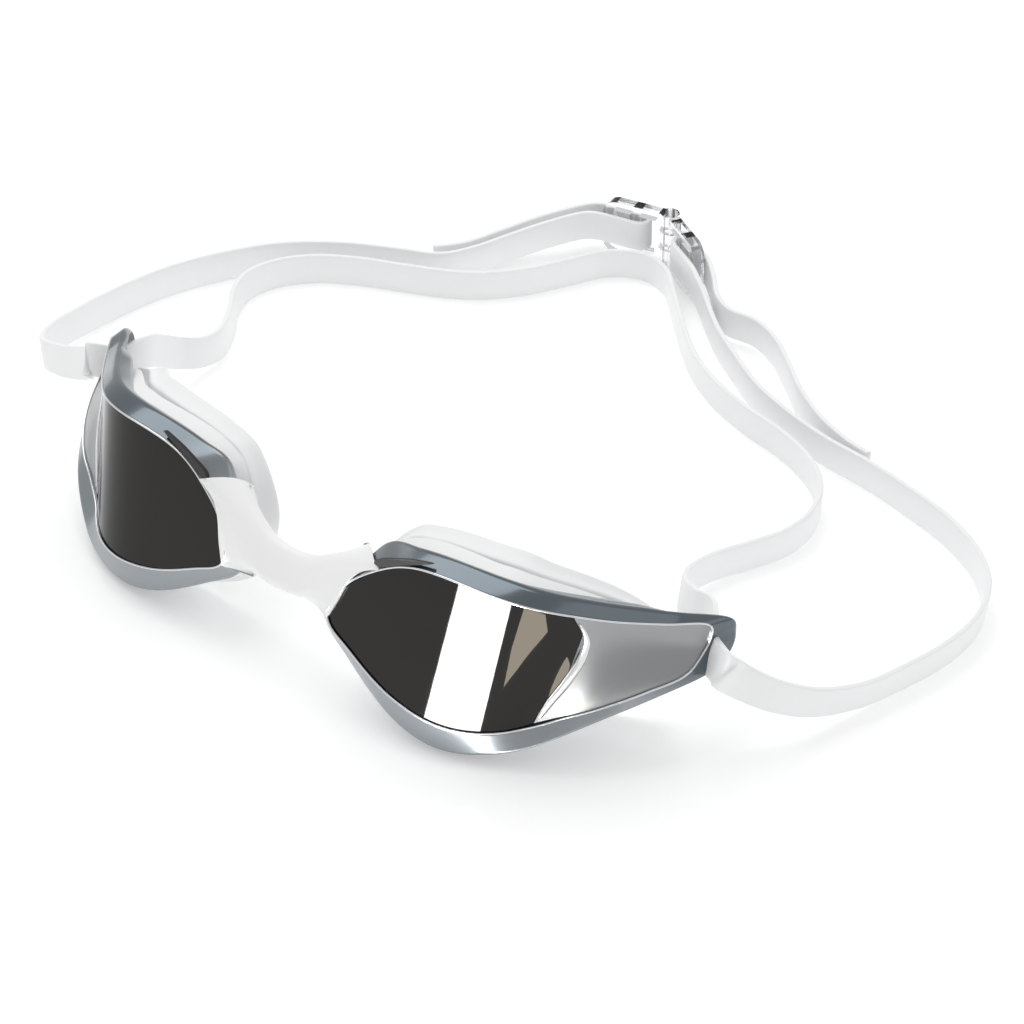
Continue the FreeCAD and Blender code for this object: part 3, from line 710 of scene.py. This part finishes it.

# %% [markdown]
# The strap is one flat band of silicone.  It lies where it was put down, so its route is a list
# of places given one by one: x, y, z and how the band leans in x and y.  Round the temple slots
# and the bars of the clip the route is worked out from those parts.

# %% Route of the strap
LEFT_TAIL = [
    (-72.0, 127.8, 4.2, 0.00, 0.00), (-66.5, 134.0, 4.6, 0.00, 0.00),
    (-62.0, 143.0, 5.6, 0.00, 0.00), (-56.5, 153.0, 7.2, 0.00, 0.00),
    (-50.0, 162.4, 8.4, 0.00, 0.00),
]
LEFT_RUN = [
    (-48.5, 158.6, 8.2, 0.00, 0.00), (-54.0, 151.0, 7.0, 0.00, 0.00),
    (-59.0, 142.4, 5.6, 0.00, 0.00), (-63.2, 134.0, 4.6, 0.00, 0.00),
    (-68.5, 126.4, 4.2, 0.00, 0.00), (-78.0, 121.4, 4.2, -0.05, 0.05),
    (-88.0, 116.4, 4.2, -0.08, 0.05), (-97.0, 110.2, 4.2, -0.10, 0.05),
    (-104.5, 103.0, 4.2, -0.10, 0.03), (-110.5, 94.0, 4.2, -0.12, 0.00),
    (-115.5, 84.0, 4.2, -0.12, 0.00), (-118.8, 74.0, 4.2, -0.12, 0.00),
    (-120.6, 63.0, 4.3, -0.12, 0.00), (-121.3, 52.0, 4.6, -0.12, 0.00),
    (-120.6, 42.0, 5.2, -0.12, -0.04), (-116.6, 34.4, 6.6, -0.10, 0.02),
    (-109.0, 31.4, 9.2, -0.06, 0.12), (-100.0, 29.0, 13.2, -0.10, 0.26),
    (-91.5, 26.6, 18.2, -0.14, 0.36),
]
HEAD_RUN = [
    (-82.4, 36.5, 20.0, -0.16, 0.39), (-86.6, 44.5, 14.0, -0.14, 0.26),
    (-88.6, 52.0, 8.6, -0.12, 0.14), (-87.6, 59.0, 5.6, -0.10, 0.06),
    (-88.2, 66.0, 4.4, -0.06, 0.02), (-92.6, 74.5, 4.2, -0.06, 0.00),
    (-98.0, 82.0, 4.2, -0.08, 0.00), (-100.6, 90.0, 4.2, -0.08, 0.00),
    (-98.4, 98.4, 4.2, -0.06, 0.02), (-92.2, 106.0, 4.2, -0.04, 0.04),
    (-83.0, 111.7, 4.2, -0.02, 0.06), (-73.0, 116.0, 4.2, 0.00, 0.06),
    (-63.0, 120.4, 4.2, 0.00, 0.06), (-54.5, 126.0, 4.2, 0.00, 0.04),
    (-47.0, 134.6, 4.2, 0.00, 0.00), (-41.4, 144.6, 4.2, 0.00, 0.00),
    (-36.4, 153.4, 4.2, 0.00, 0.00), (-28.4, 158.0, 4.2, 0.00, 0.00),
    (-20.0, 156.0, 4.2, 0.00, 0.00), (-11.6, 148.0, 4.2, 0.00, 0.00),
    (-3.0, 139.4, 4.2, 0.00, 0.00), (6.5, 130.8, 4.2, 0.00, 0.00),
    (17.5, 124.0, 4.2, 0.00, 0.00), (30.0, 119.4, 4.2, 0.00, 0.00),
    (42.5, 116.4, 4.2, 0.00, 0.00), (53.0, 111.8, 4.2, 0.00, 0.02),
    (61.0, 104.6, 4.2, 0.02, 0.02), (64.8, 95.0, 4.2, 0.04, 0.00),
    (64.4, 86.0, 4.2, 0.04, 0.00), (60.8, 77.0, 4.3, 0.04, 0.00),
    (57.2, 68.0, 4.8, 0.04, 0.02), (57.0, 59.0, 6.2, 0.04, 0.08),
    (61.4, 51.0, 9.6, 0.06, 0.16), (68.6, 44.6, 14.0, 0.10, 0.28),
    (76.0, 39.6, 18.0, 0.14, 0.36),
]
RIGHT_RUN = [
    (92.0, 27.8, 17.0, 0.16, 0.32), (97.4, 33.4, 12.0, 0.18, 0.20),
    (102.4, 41.6, 7.4, 0.20, 0.10), (107.0, 52.0, 4.9, 0.22, 0.02),
    (110.2, 63.0, 4.3, 0.20, 0.00), (113.0, 75.0, 4.2, 0.16, 0.00),
    (113.2, 87.0, 4.2, 0.12, 0.00), (109.2, 98.0, 4.2, 0.08, 0.04),
    (100.8, 106.6, 4.2, 0.02, 0.06), (90.0, 112.4, 4.2, 0.00, 0.04),
    (78.0, 116.0, 4.2, 0.00, 0.02), (65.0, 118.9, 4.2, 0.00, 0.00),
    (52.0, 120.6, 4.2, 0.00, 0.00), (39.5, 123.8, 4.2, 0.00, 0.00),
    (27.0, 128.6, 4.2, 0.00, 0.00), (15.5, 135.6, 4.2, 0.00, 0.00),
    (5.0, 142.8, 4.4, 0.00, 0.00), (-4.0, 150.2, 5.8, 0.00, 0.00),
    (-9.0, 153.6, 7.6, 0.00, 0.00),
]
RIGHT_TAIL = [
    (-6.0, 156.6, 7.6, 0.00, 0.00), (-1.0, 151.4, 6.6, 0.00, 0.00),
    (4.5, 148.8, 5.8, 0.00, 0.00), (12.0, 149.6, 5.2, 0.00, 0.00),
    (20.0, 146.4, 4.8, 0.00, 0.00), (28.0, 140.2, 4.4, 0.00, 0.00),
    (36.0, 133.4, 4.3, 0.00, 0.00), (46.0, 127.0, 4.2, 0.00, 0.00),
    (56.0, 123.0, 4.2, 0.00, 0.00), (63.0, 121.6, 4.2, 0.00, 0.00),
]
CLIP_AT = np.array([-27.0, 167.0, 8.6])
CLIP_BAR, CLIP_WRAP = 8.0, 2.5
LEFT_CLIP_TURN, RIGHT_CLIP_TURN = 12, -30


def slot_rows(side):
    """Route through the slot at the temple end of a cup, from its face to its back."""
    up = CUP_TURN @ np.array([0, 0, 1.0])
    rows = []
    for d, ds in ((-2.4, 1.6), (1.4, 0.0), (5.2, -0.6)):
        p = at(83.0 + ds, -5.0, d)
        rows.append((p[0] * side, p[1], p[2], up[0] / up[2] * side, up[1] / up[2]))
    return rows


def clip_rows(side, degrees):
    """Route round the middle bar of a clip half, from its face to its back."""
    a = math.radians(degrees)
    along = np.array([math.cos(a), math.sin(a), 0]) * side
    back = np.array([-math.sin(a), math.cos(a), 0])
    half = [(10, 1), (4.2, 1), (0.3, 1), (-1.5, 0.72)]
    rows = []
    for t, q in [(t, -q) for t, q in half] + [(-2.3, 0)] + half[::-1]:
        p = CLIP_AT + along * (CLIP_BAR + t) + back * (q * CLIP_WRAP)
        rows.append((*p, 0.0, 0.0))
    return rows


LEFT_PART = LEFT_TAIL + clip_rows(-1, LEFT_CLIP_TURN)[::-1] + LEFT_RUN
RIGHT_PART = RIGHT_RUN + clip_rows(1, RIGHT_CLIP_TURN) + RIGHT_TAIL
ROUTE = np.array(LEFT_PART + slot_rows(-1) + HEAD_RUN + slot_rows(1)[::-1] + RIGHT_PART)
print("route of", len(ROUTE), "places")

# %% [markdown]
# The band needs a smooth middle line, and at every point of it the direction of its width.  That
# direction is the lean of the route, made square to the line, so the band never twists by itself.

# %% Smooth line of the strap
STEPS = 14


def route_line():
    """Points of the band's middle line, and its up direction at each, square to the line."""
    last = len(ROUTE) - 1
    t = np.linspace(0, last, last * STEPS + 1)
    k = np.minimum(t.astype(int), last - 1)
    a, b, c, d = (ROUTE[np.clip(k + j, 0, last)] for j in (-1, 0, 1, 2))
    q = hermite((t - k)[:, None], b, c, (c - a) / 2, (d - b) / 2)
    line = q[:, :3]
    along = np.gradient(line, axis=0)
    along /= np.linalg.norm(along, axis=1)[:, None]
    up = np.concatenate([q[:, 3:], np.ones((len(q), 1))], 1)
    up -= along * np.sum(up * along, 1)[:, None]
    return line, up / np.linalg.norm(up, axis=1)[:, None]


LINE, LINE_UP = route_line()
print("strap length mm", round(float(np.linalg.norm(np.diff(LINE, axis=0), axis=1).sum()), 1))

# %% [markdown]
# Geometry Nodes sweep the band: the line's points become a curve, each point keeps its own up
# direction as the curve's normal, and a rounded oblong runs along it.  The sizes are inputs of
# the tree, so one tree serves every run of the strap.

# %% Node tree that sweeps a band
def band_tree():
    tree = bpy.data.node_groups.new("band_sweep", "GeometryNodeTree")
    tree.interface.new_socket("Line", in_out="INPUT", socket_type="NodeSocketGeometry")
    for name in ("Width", "Thickness", "Corner"):
        tree.interface.new_socket(name, in_out="INPUT", socket_type="NodeSocketFloat")
    tree.interface.new_socket("Finish", in_out="INPUT", socket_type="NodeSocketMaterial")
    tree.interface.new_socket("Band", in_out="OUTPUT", socket_type="NodeSocketGeometry")
    inputs = tree.nodes.new("NodeGroupInput").outputs
    given = {socket.name: Sock(tree, socket) for socket in inputs if socket.name}

    def node(kind, sockets, out=0, **settings):
        return Sock.make(tree, "GeometryNode" + kind, settings, sockets, out)

    up = node("InputNamedAttribute", {"Name": "up"}, data_type="FLOAT_VECTOR")
    curve = node("MeshToCurve", {0: given["Line"]})
    curve = node("SetCurveNormal", {"Curve": curve, "Normal": up}, mode="FREE")
    section = node("CurvePrimitiveQuadrilateral", {"Width": given["Width"], "Height": given["Thickness"]})
    section = node("FilletCurve", {"Curve": section, "Radius": given["Corner"], "Count": 4}, mode="POLY")
    band = node("CurveToMesh", {"Curve": curve, "Profile Curve": section})
    band = node("SetShadeSmooth", {0: band})
    band = node("RealizeInstances", {0: band})
    band = node("SetMaterial", {0: band, "Material": given["Finish"]})
    band.into(tree.nodes.new("NodeGroupOutput").inputs[0])
    return tree


BAND = band_tree()
print("band tree", len(BAND.nodes), "nodes")

# %% [markdown]
# Each run is swept by the same tree and baked to a plain mesh.  Neighbouring runs share their end
# section, so they are left open where they meet, and only the two free ends of the strap are
# filled.

# %% Sweep the runs of the strap
BAND_SIZES = {"Width": 8.0 * MM, "Thickness": 1.3 * MM, "Corner": 0.4 * MM, "Finish": WHITE_STRAP}


def band(name, first, last):
    """Run of the strap between two places of the route, baked to a plain mesh."""
    part = slice(first * STEPS, last * STEPS + 1)
    line = placed(LINE[part])
    guide = bpy.data.meshes.new(name + "_line")
    guide.from_pydata([tuple(p) for p in line], [(i, i + 1) for i in range(len(line) - 1)], [])
    guide.attributes.new("up", "FLOAT_VECTOR", "POINT").data.foreach_set("vector", LINE_UP[part].ravel())
    ob = bpy.data.objects.new(name, guide)
    bpy.context.scene.collection.objects.link(ob)
    sweep = ob.modifiers.new("sweep", "NODES")
    sweep.node_group = BAND
    for socket in BAND.interface.items_tree:
        if socket.name in BAND_SIZES:
            sweep[socket.identifier] = BAND_SIZES[socket.name]
    evaluated = ob.evaluated_get(bpy.context.evaluated_depsgraph_get())
    mesh = bpy.data.meshes.new_from_object(evaluated)
    ob.modifiers.remove(sweep)
    ob.data = mesh
    return finish_piece(ob, WHITE_STRAP)


def close_end(ob, tip):
    """Fill the open end of a run that lies at a point of the line."""
    bm = bmesh.new()
    bm.from_mesh(ob.data)
    rim = [e for e in bm.edges if e.is_boundary and (e.verts[0].co - Vector(placed(tip))).length < 6 * MM]
    for face in bmesh.ops.contextual_create(bm, geom=rim)["faces"]:
        face.smooth = True
    bmesh.ops.recalc_face_normals(bm, faces=bm.faces)
    bm.to_mesh(ob.data)
    bm.free()
    print(ob.name, "closed with", len(rim), "edges")


LEFT_SLOT = len(LEFT_PART)
HEAD_START = LEFT_SLOT + 3
RIGHT_SLOT = HEAD_START + len(HEAD_RUN)
RIGHT_START = RIGHT_SLOT + 3
CLIP_START = RIGHT_START + len(RIGHT_RUN)
CUTS = {
    "side_left": (0, LEFT_SLOT - 8), "temple_left": (LEFT_SLOT - 8, HEAD_START + 8),
    "head": (HEAD_START + 8, RIGHT_SLOT - 9), "temple_right": (RIGHT_SLOT - 9, RIGHT_START + 6),
    "side_right": (RIGHT_START + 6, CLIP_START - 5), "clip_run": (CLIP_START - 5, CLIP_START + 9),
    "tail_right": (CLIP_START + 9, len(ROUTE) - 1),
}
BANDS = {run: band("strap_" + run, *cut) for run, cut in CUTS.items()}
close_end(BANDS["side_left"], LINE[0])
close_end(BANDS["tail_right"], LINE[-1])
for run, ob in BANDS.items():
    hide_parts("strap")
    print(ob.name, len(ob.data.polygons), "faces")

# %% [markdown]
# The strap is cut into runs where it meets the cups and the clip.  Most runs lie on the table;
# the long ones are parented to the body of the bridge and strap.  The ends that go through a temple
# slot, the run through the clip's right half and the tail after it are baked where they lie.

# %% Where the runs of the strap are held
def spot(x, y, z=4.0):
    return tuple(placed(np.array([x, y, z], float)))


for run in ("side_left", "head", "side_right"):
    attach(BANDS[run], ROOT)
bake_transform(BANDS["clip_run"], ROOT, "clip_half", start=spot(14, 137), end=spot(-9, 153.6))
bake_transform(BANDS["temple_left"], ROOT, "left_cup", start=spot(-100, 74), end=spot(-90, 42))
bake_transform(BANDS["temple_right"], ROOT, "right_cup", start=spot(100, 74), end=spot(90, 42))
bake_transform(BANDS["tail_right"], "clip_half", ROOT, start=spot(-6, 156.6), end=spot(20, 146.4))
print("runs", list(BANDS))

# %% [markdown]
# Four kinds of part keep their own shape and only need a finish: the housings and clamping
# rings in white, and the clip and its pin in clear plastic.  A small bevel on the clip catches
# the light as a moulded edge does.

# %% Parts that keep their shape
CLIP_BEVEL = 0.5 * MM
OWN_FINISH = {"eye_housing": WHITE_GASKET, "gasket_ring": WHITE_GASKET, "clip": CLEAR, "clip_pin": CLEAR}
for node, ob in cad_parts.items():
    kind = node.replace("_left", "").replace("_right", "")
    if kind not in OWN_FINISH:
        continue
    ob.data.materials.clear()
    ob.data.materials.append(OWN_FINISH[kind])
    print(node, OWN_FINISH[kind].name)
    if kind.startswith("clip"):
        bevel = ob.modifiers.new("bevel", "BEVEL")
        bevel.width = CLIP_BEVEL
        bevel.segments = 3

# %% [markdown]
# The goggles stand on a pale floor that glows a little, as a lit studio table does.  The white
# world gives a soft light from all round, so the white silicone keeps its shape without hard
# shadows.

# %% Floor and world
FLOOR = principled("pale_floor", Base_Color=(0.93, 0.93, 0.93), Roughness=0.8,
                   Emission_Color=(1.0, 1.0, 1.0), Emission_Strength=0.22)
FLOOR_HALF = 6.0


def stage_piece(name, verts, material):
    """One flat face that belongs to the stage."""
    mesh = bpy.data.meshes.new(name)
    mesh.from_pydata(verts, [], [tuple(range(len(verts)))])
    mesh.materials.append(material)
    ob = bpy.data.objects.new(name, mesh)
    bpy.context.scene.collection.objects.link(ob)
    return ob


floor_z = min(START_BOUNDS[0][2], 0.0)
corners = [(x * FLOOR_HALF, y * FLOOR_HALF, floor_z) for x, y in ((-1, -1), (1, -1), (1, 1), (-1, 1))]
stage_piece("floor", corners, FLOOR)

world = bpy.data.worlds.new("studio")
bpy.context.scene.world = world
world.use_nodes = True
world.node_tree.nodes["Background"].inputs["Color"].default_value = (1, 1, 1, 1)
world.node_tree.nodes["Background"].inputs["Strength"].default_value = 0.62
print("floor at", floor_z)

# %% [markdown]
# The camera looks down on the goggles from the right front with a long lens.  It is set by the
# point that it looks at, a compass angle, a height angle and a distance.

# %% Camera
LOOK_AT = Vector((0.02245, -0.03118, 0.01486))
AZIMUTH, ELEVATION, DISTANCE = math.radians(38.51), math.radians(37.07), 0.67924
SENSOR, FOCAL = 36.0, 108.5414


def look(ob, target):
    ob.rotation_euler = (Vector(target) - ob.location).to_track_quat("-Z", "Y").to_euler()


level = math.cos(ELEVATION)
EYE = LOOK_AT + DISTANCE * Vector((math.sin(AZIMUTH) * level, -math.cos(AZIMUTH) * level, math.sin(ELEVATION)))
lens = bpy.data.cameras.new("camera")
lens.sensor_width = SENSOR
lens.lens = FOCAL
camera = bpy.data.objects.new("camera", lens)
camera.location = EYE
look(camera, LOOK_AT)
bpy.context.scene.collection.objects.link(camera)
bpy.context.scene.camera = camera
bpy.context.scene.view_settings.view_transform = "Standard"
print("camera at", tuple(round(q, 4) for q in EYE))

# %% [markdown]
# The mirror shows the room.  A white strip and a small warm patch lie on the floor as glowing
# cards that only reflections can see.  Each card is drawn on the right lens by s and v, and
# every point of it is sent down to the floor along its mirrored ray.

# %% Cards seen in the mirror
def seen_on_floor(s, v):
    """The point of the floor that the right lens shows at length s and height v."""
    p, q, r = (Vector(placed(at(*sv, 0.0))) for sv in ((s, v), (s + 0.05, v), (s, v + 0.05)))
    n = (q - p).cross(r - p).normalized()
    ray = (p - EYE).reflect(n).normalized()
    return p + ray * ((MM - p.z) / ray.z)


def card(name, outline, colour, strength):
    """A glowing card on the floor that shows only in reflections."""
    glow = principled(name + "_glow", Base_Color=(0.0, 0.0, 0.0), Roughness=1.0,
                      Emission_Color=colour, Emission_Strength=strength)
    t = np.arange(0, len(outline), 0.05)
    loop = [np.interp(t, range(len(outline) + 1), [p[i] for p in outline + outline[:1]]) for i in (0, 1)]
    ob = stage_piece(name, [tuple(seen_on_floor(s, v)) for s, v in zip(*loop)], glow)
    ob.visible_camera = False
    ob.visible_diffuse = False
    ob.visible_shadow = False
    ob.visible_transmission = False
    print(name, len(t), "points")


card("strip_card", [(26.4, -5.0), (38.1, -3.4), (42.8, -36.4), (30.9, -39.0)], (1.0, 1.0, 1.0), 34.0)
card("warm_card", [(40.9, -4.2), (45.4, -4.4), (47.3, -8.0), (45.6, -13.5), (43.4, -23.0), (41.8, -14.0)],
     (0.66, 0.6, 0.5), 13.0)

# %% [markdown]
# Two large, weak lamps give the softest of shadows under the cups: a key from the back left and
# a fill from the back right.

# %% Lamps
def area(name, size, energy, where):
    lamp = bpy.data.lights.new(name, "AREA")
    lamp.size = size
    lamp.energy = energy
    ob = bpy.data.objects.new(name, lamp)
    ob.location = where
    look(ob, (0.0, 0.0, 0.02))
    bpy.context.scene.collection.objects.link(ob)
    print(name, energy, "W")


area("key", 0.9, 5.0, (-0.5, 0.2, 1.0))
area("fill", 1.2, 2.0, (0.9, 0.5, 0.9))
